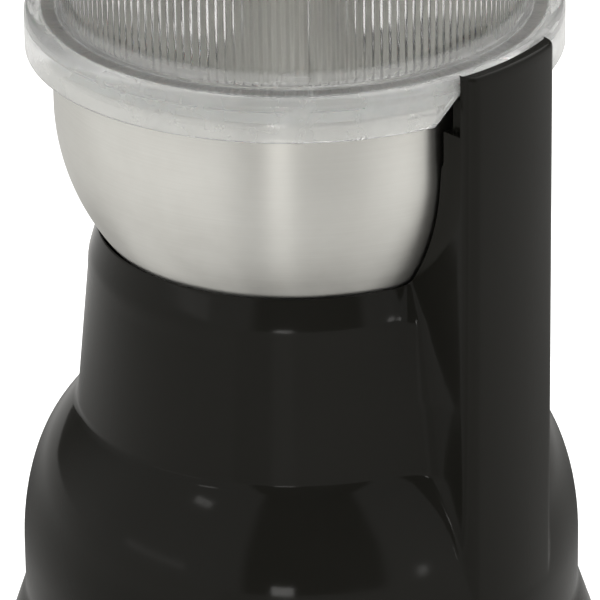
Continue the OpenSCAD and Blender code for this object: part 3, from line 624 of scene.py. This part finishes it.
def outline(angle, z):
    """Distance from the pole to the housing's outer surface."""
    least_room = 0.05
    radius = base_radius(z)
    wedge = wedge_reach(angle)
    disc = disc_reach(angle, radius)
    room = BLEND_ROOM * (FACE_R - radius)
    if room < least_room:
        return max(wedge, disc)
    up = min(max((z - FILLET_Z) / (RIM_Z - FILLET_Z), 0), 1)
    fillet = FILLET + (RIM_FILLET - FILLET) * up
    return smooth_max(wedge, disc, min(BLEND_WIDTH * fillet, room))


def angle_where(test, low, high):
    """Bisection: test is true at low and false at high."""
    halvings = 50
    for _ in range(halvings):
        middle = (low + high) / 2
        if test(middle):
            low = middle
        else:
            high = middle
    return (low + high) / 2


def side_angle(radius):
    """Angle at the pole where the pillar's side crosses a radius."""
    return angle_where(
        lambda a: wedge_reach(a) > disc_reach(a, radius), EDGE_START, math.radians(88))


def housing_columns():
    """(angle, top z) of the columns from the pillar's middle to the far side, with the
    indices of the last ones at the top plate, on the ledge and on the sweep to the rim."""
    face_steps, side_steps, ledge_steps, sweep_steps, back_steps = 10, 15, 4, 36, 71
    plate = side_angle(PLATE_R)
    wall = side_angle(WELL_R)
    sweep_end = math.radians(83)
    crowding = 1.2       # the sweep's columns lie closer together at the pillar
    columns = [(EDGE_START * i / face_steps, TOP_Z) for i in range(face_steps)]
    columns += [
        (EDGE_START + (plate - EDGE_START) * i / side_steps, TOP_Z) for i in range(side_steps + 1)]
    plate_index = len(columns) - 1
    for i in range(1, ledge_steps + 1):
        radius = PLATE_R + (WELL_R - PLATE_R) * i / ledge_steps
        columns.append((side_angle(radius), LEDGE_Z))
    wall_index = len(columns) - 1
    for i in range(1, sweep_steps + 1):
        angle = wall + (sweep_end - wall) * (i / sweep_steps) ** crowding
        top = angle_where(
            lambda z: outline(angle, z) > disc_reach(angle, well_radius(z)), RIM_Z - 0.5, WALL_Z)
        columns.append((angle, RIM_Z if i == sweep_steps else max(top, RIM_Z)))
    sweep_index = len(columns) - 1
    for i in range(1, back_steps + 1):
        columns.append((sweep_end + (math.pi - sweep_end) * i / back_steps, RIM_Z))
    return columns, plate_index, wall_index, sweep_index


def housing_levels():
    steps = 26
    levels = [*TOP_ROUND, 148.5, 147, 145, 143, 141, 139, LEDGE_Z, 134, 132]
    levels += [WALL_Z - (WALL_Z - RIM_Z) * i / steps for i in range(steps)]
    return levels + [z for z, _ in PROFILE]


def housing_outside(shape, columns, levels):
    """Columns of (-z, point) on both sides; the middle and last ones are shared."""
    least_step = 0.02
    sides = {1: [], -1: []}
    for index, (angle, top) in enumerate(columns):
        for side in (1, -1):
            if side < 0 and index in (0, len(columns) - 1):
                sides[-1].append(sides[1][index])
                continue
            line = []
            heights = [top] + [z for z in levels if z < top - least_step]
            for z in heights:
                reach = outline(angle, z) - TOP_ROUND.get(z, 0.0)
                x = POLE_X + reach * math.cos(angle)
                line.append((-z, shape.point(x, side * reach * math.sin(angle), z)))
            sides[side].append(line)
    return sides


def axis_angle(shape, point):
    return math.atan2(shape.points[point][1], shape.points[point][0])


def lower(line, z):
    """The part of a column at or below z."""
    return [entry for entry in line if entry[0] >= -z - 1e-6]


def well_path():
    """(radius, z) from the rim through the well, then up and down inside the base."""
    turn_in, turn_out, arc_steps, back_arc_steps = 22.3, 36.9, 18, 12
    path = []
    low = math.acos((WELL_FLOOR_R - WELL_X) / WELL_ARC)
    high = math.acos((RIM_IN - WELL_X) / WELL_ARC)
    for i in range(1, arc_steps + 1):
        a = high + (low - high) * i / arc_steps
        path.append((WELL_X + WELL_ARC * math.cos(a), WELL_MID - WELL_ARC * math.sin(a)))
    # the coupling's room and the shaft's hole in its floor
    path += [(20.8, 84.95), (20.5, 84.6), (20.5, 78.34), (20.2, 78.04), (9.9, 78.04)]
    path += [(9.6, 77.74), (9.6, 75.64), (turn_in, 75.64)]
    shell = WELL_ARC + WELL_SHELL
    low = math.acos((turn_in - WELL_X) / shell)
    high = math.acos((turn_out - WELL_X) / shell)
    for i in range(back_arc_steps + 1):
        a = low + (high - low) * i / back_arc_steps
        path.append((WELL_X + shell * math.cos(a), WELL_MID - shell * math.sin(a)))
    path.append((40.0, 93.0))
    path += [(r - BASE_SHELL, z) for z, r in PROFILE if 5 < z < 91]
    path += [(60.1, 4.5), (60.1, FOOT_Z)]
    return path


def housing_inside(shape, columns, sides, marks):
    """Plate, ledge and well between the two sides. Returns the row of points at the rim."""
    plate, wall, sweep = marks
    ends = axis_angle(shape, sides[1][plate][0][1])
    shares = [axis_angle(shape, sides[1][i][0][1]) / ends for i in range(plate + 1)]
    spans = [-s for s in reversed(shares[1:])] + shares

    def row(radius, z, left, right):
        reach = axis_angle(shape, right)
        made = [shape.polar(radius, s * reach, z) for s in spans[1:-1]]
        return [left, *made, right]

    rows = []
    right, left = sides[1][plate], sides[-1][plate]
    for (key, a), (_, b) in zip(right, left):
        if -key >= LEDGE_Z - 1e-6:
            rows.append(row(PLATE_R + TOP_ROUND.get(-key, 0.0) * 0.4, -key, b, a))
    for i in range(plate + 1, wall + 1):
        a, b = sides[1][i][0][1], sides[-1][i][0][1]
        rows.append(row(math.hypot(*shape.points[a][:2]), LEDGE_Z, b, a))
    for (key, a), (_, b) in zip(sides[1][wall][1:], sides[-1][wall][1:]):
        if -key >= WALL_Z - 1e-6:
            rows.append(row(WELL_R, -key, b, a))
    for i in range(wall + 1, sweep + 1):
        z = columns[i][1]
        rows.append(row(well_radius(z), z, sides[-1][i][0][1], sides[1][i][0][1]))
    for first, second in zip(rows, rows[1:]):
        shape.rows(first, second)
    top = [sides[-1][i][0][1] for i in range(plate, 0, -1)]
    top += [sides[1][i][0][1] for i in range(plate + 1)]
    shape.rows(top, rows[0])
    return rows[-1]


def housing_rim(shape, sides, sweep, middle):
    """Land on the rim behind the pillar. Returns the closed inner ring."""
    right, left = [], []
    for line, made in ((sides[1], right), (sides[-1], left)):
        outer = [line[i][0][1] for i in range(sweep, len(line))]
        inner = [outer[0]]
        for point in outer[1:]:
            if made is left and point == outer[-1]:
                inner.append(right[-1])
                continue
            inner.append(shape.polar(RIM_IN, axis_angle(shape, point), RIM_Z))
        shape.rows(outer, inner)
        made.extend(inner)
    return list(reversed(left[1:-1])) + middle + right[1:]


def housing_shell():
    shape = Shape()
    columns, plate, wall, sweep = housing_columns()
    levels = housing_levels()
    sides = housing_outside(shape, columns, levels)
    limits = {plate: LEDGE_Z, wall: WALL_Z}
    for line in sides.values():
        for i in range(len(line) - 1):
            limit = limits.get(i, TOP_Z)
            shape.zip(lower(line[i], limit), lower(line[i + 1], limit))
    middle = housing_inside(shape, columns, sides, (plate, wall, sweep))
    ring = housing_rim(shape, sides, sweep, middle)
    angles = [axis_angle(shape, p) for p in ring]
    for radius, z in well_path():
        below = [shape.polar(radius, a, z) for a in angles]
        shape.rows(ring, below, closed=True)
        ring = below
    bottom = [sides[-1][i][-1][1] for i in range(len(columns) - 1, 0, -1)]
    bottom += [line[-1][1] for line in sides[1]]
    outer = sorted((axis_angle(shape, p), p) for p in set(bottom))
    inner = sorted(zip(angles, ring))
    outer.append((outer[0][0] + math.tau, outer[0][1]))
    inner.append((inner[0][0] + math.tau, inner[0][1]))
    shape.zip(outer, inner)
    return shape.build("housing_shell", MATERIALS["base_gloss"], 32.0)


def key_plan(inset):
    """The key that the lid's gap fits over, with an arc inside and out."""
    steps = 6
    half = KEY_HALF - inset
    ys = [half * (i / steps - 1) for i in range(2 * steps + 1)]
    inner = [(math.sqrt((KEY_IN_R + inset) ** 2 - y * y), y) for y in ys]
    outer = [(math.sqrt(KEY_OUT_R ** 2 - y * y), y) for y in reversed(ys)]
    return outer + inner


def make_housing():
    shell = housing_shell()
    paint = MATERIALS["base_gloss"]
    cut(shell, prism("key", key_plan, KEY_LEVELS, paint), "UNION")
    tools = [
        prism(name, box_plan(x0, x1, half), [(z0, 0), (z1, 0)], paint)
        for name, x0, x1, half, z0, z1 in HOLLOWS
    ]
    tools.append(prism("bore", circle_plan(ROD_X, 0, ROD_BORE_R), [(z, 0) for z in ROD_BORE_Z], paint))
    hole = circle_plan(0, -GLAND_Z, GLAND_HOLE_R)
    gland = prism("gland", hole, [(y, 0) for y in GLAND_HOLE_Y], paint)
    gland.data.transform(Matrix.Rotation(math.radians(-90), 4, "X"))
    for tool in [*tools, gland]:
        cut(shell, tool, "DIFFERENCE", 32.0)
    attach(shell, "base")
    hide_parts("housing")


# ---------- bowl ----------

def bowl_profile():
    """Closed loop of (radius, z): outside up to the rolled rim, then down the inside."""
    floor_z, wall, hole_r, side_turn = 85.84, 0.8, 8.05, 0.8
    outer = WELL_ARC - 0.6
    inner = outer - wall
    low = math.degrees(math.acos((WELL_FLOOR_R - WELL_X) / outer))
    low_in = math.degrees(math.acos((WELL_FLOOR_R - WELL_X) / inner))
    loop = [(hole_r, floor_z), (21.0, floor_z)]
    loop += arc(WELL_X, WELL_MID, outer, outer, -low + side_turn, 0, 40)
    loop += [(49.15, 131.0), (49.15, 136.0), (49.15, 140.4), (49.2, 141.2)]
    loop += arc(49.55, 142.2, 0.85, 0.8, -70, 175, 16)
    loop += [(48.42, 141.7), (48.35, 141.0), (48.35, 136.0), (48.35, 131.0)]
    loop += arc(WELL_X, WELL_MID, inner, inner, 0, -low_in + side_turn, 40)
    loop += [(21.4, floor_z + wall + 0.02), (hole_r, floor_z + wall)]
    return loop


def make_bowl():
    bowl = lathe("bowl_shell", bowl_profile(), 288, MATERIALS["bowl_steel"], 40.0)
    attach(bowl, "bowl")
    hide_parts("bowl")


# ---------- lid ----------

LID_TOP = 200.0
LID_DISH_Z = 199.35      # the sunk middle of the top, and its underside
LID_UNDER_Z = 197.2
LID_DISH_R = 12.0        # first ring around the middle
LID_R = 47.1
LID_INNER = 44.3
LID_ROUND = 9.0
FLANGE_Z = 145.6
FLANGE_TOP = 149.1
FLANGE_R = 54.6
SKIRT_Z = 139.7          # lower edge of the skirt
SKIRT_LEAST = 0.05       # height of skirt that is left over the key
SKIRT_IN = 52.4
RIBS = 160
RIB_STEPS = 6
RIB_DEPTH = 0.45
SEAM_ANGLE = -45.7       # the moulding's seam, with its height and its width in degrees
SEAM_HEIGHT = 0.3
SEAM_WIDTH = 0.45
GAP_HALF = 12.5
SEAL_TOP = 147.2


def skirt_bottom(x, y):
    """Height of the skirt's lower edge, which rises over the pillar's key."""
    if x < 0:
        return SKIRT_Z
    high = FLANGE_Z - SKIRT_LEAST
    return min(max(high - (abs(y) - GAP_HALF), SKIRT_Z), high)


def lid_profile():
    """(radius, z, kind) around the wall, from the top's middle outside to the middle inside.
    The skirt's heights count from its lower edge."""
    centre = LID_R - LID_ROUND
    turn_z = LID_TOP - LID_ROUND
    inner_round = 6.2
    loop = [(r, LID_DISH_Z, "") for r in (LID_DISH_R, 30.0, 35.2)]
    loop += [(35.9, 199.5, ""), (36.5, 199.88, ""), (37.2, LID_TOP, "")]
    loop += [(r, z, "") for r, z in arc(centre, turn_z, LID_ROUND, LID_ROUND, 90, 0, 14)]
    loop += [(LID_R, 183.0, "wall"), (LID_R, 170.0, "wall"), (LID_R, 158.0, "wall")]
    loop += [(LID_R, 149.9, "wall"), (47.18, 149.55, ""), (47.38, 149.28, ""), (47.65, 149.14, "")]
    loop += [(48.0, FLANGE_TOP, ""), (52.6, FLANGE_TOP, ""), (53.4, 149.0, ""), (54.0, 148.66, "")]
    loop += [(54.42, 148.1, ""), (FLANGE_R, 147.5, ""), (FLANGE_R, FLANGE_Z, "")]
    loop += [(FLANGE_R, 0.35, "skirt"), (54.48, 0.12, "skirt"), (54.2, 0.0, "skirt")]
    loop += [(52.8, 0.0, "skirt"), (52.5, 0.12, "skirt"), (SKIRT_IN, 0.35, "skirt")]
    loop += [(SKIRT_IN, FLANGE_Z, ""), (51.3, FLANGE_Z, ""), (51.3, SEAL_TOP, "")]
    loop += [(47.95, SEAL_TOP, "")]
    loop += [(47.95, FLANGE_Z, ""), (47.6, 145.2, ""), (47.6, 138.5, ""), (47.45, 138.12, "")]
    loop += [(47.1, 138.0, ""), (45.7, 138.0, ""), (45.35, 138.12, ""), (45.2, 138.5, "")]
    loop += [(45.2, 144.0, ""), (44.9, 144.5, ""), (LID_INNER, 144.7, "")]
    loop += [(LID_INNER, 146.2, "rib"), (LID_INNER, 160.0, "rib"), (LID_INNER, 175.0, "rib")]
    loop += [(LID_INNER, 188.0, "rib"), (LID_INNER, 189.5, "")]
    loop += [(r, z, "") for r, z in arc(centre, turn_z, inner_round, inner_round, 0, 90, 10)]
    loop += [(30.0, LID_UNDER_Z, ""), (LID_DISH_R, LID_UNDER_Z, "")]
    return loop


def lid_point(shape, radius, z, kind, angle):
    """A point of the lid's wall, moved by what its kind of surface carries."""
    if kind == "rib":
        crest = 0.5 + 0.5 * math.cos(RIBS * angle)
        radius -= RIB_DEPTH * crest
    if kind == "wall":
        away = (math.degrees(angle) - SEAM_ANGLE + 180) % 360 - 180
        radius += SEAM_HEIGHT * math.exp(-(away / SEAM_WIDTH) ** 2)
    if kind == "skirt":
        bottom = skirt_bottom(radius * math.cos(angle), radius * math.sin(angle))
        z = min(bottom + z, FLANGE_Z - 0.02)
    return shape.polar(radius, angle, z)


def make_lid():
    shape = Shape()
    count = RIBS * RIB_STEPS
    rings = [
        [lid_point(shape, r, z, kind, math.tau * i / count) for i in range(count)]
        for r, z, kind in lid_profile()
    ]
    for first, second in zip(rings, rings[1:]):
        shape.rows(first, second, closed=True)
    for ring, z in ((rings[0], LID_DISH_Z), (rings[-1], LID_UNDER_Z)):
        middle = shape.point(0, 0, z)
        for i in range(count):
            shape.face(ring[i], ring[(i + 1) % count], middle)
    lid = shape.build("lid_shell", MATERIALS["lid_clear"], 40.0)
    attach(lid, "lid")
    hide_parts("lid_cover")


def make_seal():
    """A ring with two lips below and a shallow groove in each side."""
    loop = arc(48.45, 143.5, 0.4, 0.45, 180, 270, 4) + [(48.75, 143.15)]
    loop += [(49.2, 143.4), (49.9, 143.4), (50.45, 143.15)]
    loop += arc(50.8, 143.5, 0.4, 0.45, 270, 360, 4)
    loop += [(51.2, 145.4), (51.05, 145.9), (51.2, 146.4)]
    loop += arc(50.9, 146.9, 0.3, 0.3, 0, 90, 4) + arc(48.35, 146.9, 0.3, 0.3, 90, 180, 4)
    loop += [(48.05, 146.4), (48.2, 145.9), (48.05, 145.4)]
    seal = lathe("seal_ring", loop, 256, MATERIALS["seal_silicone"], 50.0)
    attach(seal, "seal")
    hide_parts("lid_seal")
    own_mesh(seal)


# ---------- stage ----------

FLOOR_HALF = 6000.0
# sectors of what surfaces reflect: from azimuth, to azimuth, softness of the sides; the floor's two
# are a sector of painted shade and a band of painted light
FLOOR_PAINTED_SHADE = (-31.0, -14.0, 2.0)
FLOOR_PAINTED_LIGHT = (-12.5, -3.0, 0.8)
STUDIO_GAP = (-24.0, 34.0, 3.0)
FLOOR_BEHIND = (85.0, 140.0)         # the dimmer back half fades in between these azimuths
STUDIO_BEHIND = (95.0, 140.0)


def compass(s, place):
    """Azimuth from the camera's side in degrees, and distance, of a place or direction."""
    split = s.add("ShaderNodeSeparateXYZ", Vector=place)
    front = direction(CAMERA_AZIMUTH, 0)
    x, y = split.outputs[0], split.outputs[1]
    ahead = s.math("ADD", s.math("MULTIPLY", x, front.x), s.math("MULTIPLY", y, front.y))
    beside = s.math("SUBTRACT", s.math("MULTIPLY", y, front.x), s.math("MULTIPLY", x, front.y))
    angle = s.math("MULTIPLY", s.math("ARCTAN2", beside, ahead), 180 / math.pi)
    away = s.math("SQRT", s.math("ADD", s.math("MULTIPLY", x, x), s.math("MULTIPLY", y, y)))
    return angle, away, split.outputs[2]


def sector(s, angle, start, end, soft):
    """1 between two azimuths, 0 outside, with soft sides."""
    rise = s.spread(angle, start - soft, start + soft, 0.0, 1.0, smooth=True)
    fall = s.spread(angle, end - soft, end + soft, 1.0, 0.0, smooth=True)
    return s.math("MULTIPLY", rise, fall)


def make_floor():
    """White to the camera, with a shadow; in reflections it carries painted light: a painted shadow
    that makes it darker near the object, and dimmer behind it, a sector of painted shade and a band of
    painted highlight at the front."""
    material = bpy.data.materials.new("floor")
    material.use_nodes = True
    s = Shader(material.node_tree)
    path = s.tree.nodes.new("ShaderNodeLightPath")
    diffuse = s.add("ShaderNodeBsdfDiffuse", Color=(0.8, 0.8, 0.8, 1.0))
    glow = s.add("ShaderNodeEmission", Color=(1.0, 1.0, 1.0, 1.0))
    s.put(glow, "Strength", s.spread(path.outputs["Is Diffuse Ray"], 0.0, 1.0, 0.75, 0.0))
    seen = s.add("ShaderNodeAddShader")
    s.put(seen, 0, diffuse.outputs[0])
    s.put(seen, 1, glow.outputs[0])
    angle, away, _ = compass(s, s.place())
    # painted shadow: in reflections the floor is darker near the object, and darkest behind it
    front = s.spread(away, 0.08, 0.30, 0.62, 0.87, smooth=True)
    back = s.spread(away, 0.09, 0.30, 0.07, 0.8, smooth=True)
    behind = s.spread(s.math("ABSOLUTE", angle), *FLOOR_BEHIND, 0.0, 1.0, smooth=True)
    level = s.math("ADD", front, s.math("MULTIPLY", s.math("SUBTRACT", back, front), behind))
    # painted shade in one front sector and a painted highlight band in another, seen only in
    # reflections
    painted_shade_sector = s.math("MULTIPLY_ADD", sector(s, angle, *FLOOR_PAINTED_SHADE), -0.16, 1.0)
    painted_light_band = s.math("MULTIPLY_ADD", sector(s, angle, *FLOOR_PAINTED_LIGHT), 0.2, painted_shade_sector)
    mirrored = s.add("ShaderNodeEmission", Color=(1.0, 0.99, 0.965, 1.0))
    s.put(mirrored, "Strength", s.math("MULTIPLY", level, painted_light_band))
    both = s.add("ShaderNodeMixShader", Fac=path.outputs["Is Glossy Ray"])
    s.put(both, 1, seen.outputs[0])
    s.put(both, 2, mirrored.outputs[0])
    out = s.add("ShaderNodeOutputMaterial")
    s.put(out, "Surface", both.outputs[0])
    shape = Shape()
    corners = ((-1, -1), (1, -1), (1, 1), (-1, 1))
    shape.face(*[shape.point(x * FLOOR_HALF, y * FLOOR_HALF, 0) for x, y in corners])
    floor = shape.build("floor", material)


def make_world():
    """White to the camera; in reflections, a studio with a dark gap at the front and a
    dim back. The front gap also shows through clear pieces."""
    world = bpy.data.worlds.new("studio")
    world.use_nodes = True
    scene.world = world
    s = Shader(world.node_tree)
    place = s.tree.nodes.new("ShaderNodeTexCoord").outputs["Generated"]
    angle, _, height = compass(s, place)
    below_top = s.spread(height, 0.9, 0.97, 1.0, 0.0)
    front = s.math("MULTIPLY", sector(s, angle, *STUDIO_GAP), below_top)
    behind = s.spread(s.math("ABSOLUTE", angle), *STUDIO_BEHIND, 0.0, 1.0, smooth=True)
    low = s.spread(height, 0.5, 0.95, 1.0, 0.2)
    dark = s.math("MAXIMUM", front, s.math("MULTIPLY", behind, low))
    level = s.math("MULTIPLY_ADD", dark, -0.8, 0.9)
    path = s.tree.nodes.new("ShaderNodeLightPath")
    glossy = path.outputs["Is Glossy Ray"]
    diffuse = path.outputs["Is Diffuse Ray"]
    plain = s.math("MULTIPLY_ADD", diffuse, -0.25, 1.0)
    through = s.math("MULTIPLY", path.outputs["Is Transmission Ray"], front)
    plain = s.math("MULTIPLY_ADD", through, -0.85, plain)
    keep = s.math("SUBTRACT", 1.0, glossy)
    mixed = s.math("ADD", s.math("MULTIPLY", level, glossy), s.math("MULTIPLY", plain, keep))
    back = s.add("ShaderNodeBackground", Color=(1.0, 0.997, 0.985, 1.0), Strength=mixed)
    out = s.add("ShaderNodeOutputWorld")
    s.put(out, "Surface", back.outputs[0])


def make_light(name, azimuth, elevation, distance, width, height, power, aim=(0, 0, 0.08)):
    """A soft box; azimuth counts from the camera, to the right in the picture."""
    data = bpy.data.lights.new(name, "AREA")
    data.shape = "RECTANGLE"
    data.size = width
    data.size_y = height
    data.energy = power
    data.color = (1.0, 0.99, 0.97)
    light = bpy.data.objects.new(name, data)
    scene.collection.objects.link(light)
    towards = direction(CAMERA_AZIMUTH + azimuth, elevation)
    light.location = Vector(aim) + towards * distance
    light.rotation_euler = towards.to_track_quat("Z", "Y").to_euler()


LIGHTS = [
    # name, azimuth, elevation, distance, width, height, power
    ("left_low", -62, 5.0, 2.0, 1.0, 0.10, 0.35),
    ("front_low", -7.7, 0.6, 2.0, 0.3, 0.14, 1.2),
    ("right_low", 49, 1.5, 2.0, 0.12, 0.14, 0.3),
    ("left_high", -54, 43, 1.6, 0.2, 0.1, 0.3),
    ("right_rim", 134, 4, 2.0, 0.35, 0.7, 1.0),
    ("top_box", 150, 62, 1.6, 1.6, 1.6, 12),
]


def main():
    paint_cad_nodes()
    make_housing()
    make_bowl()
    make_lid()
    make_seal()
    make_floor()
    make_world()
    for light in LIGHTS:
        make_light(*light)
    scene.view_settings.view_transform = "Standard"


main()
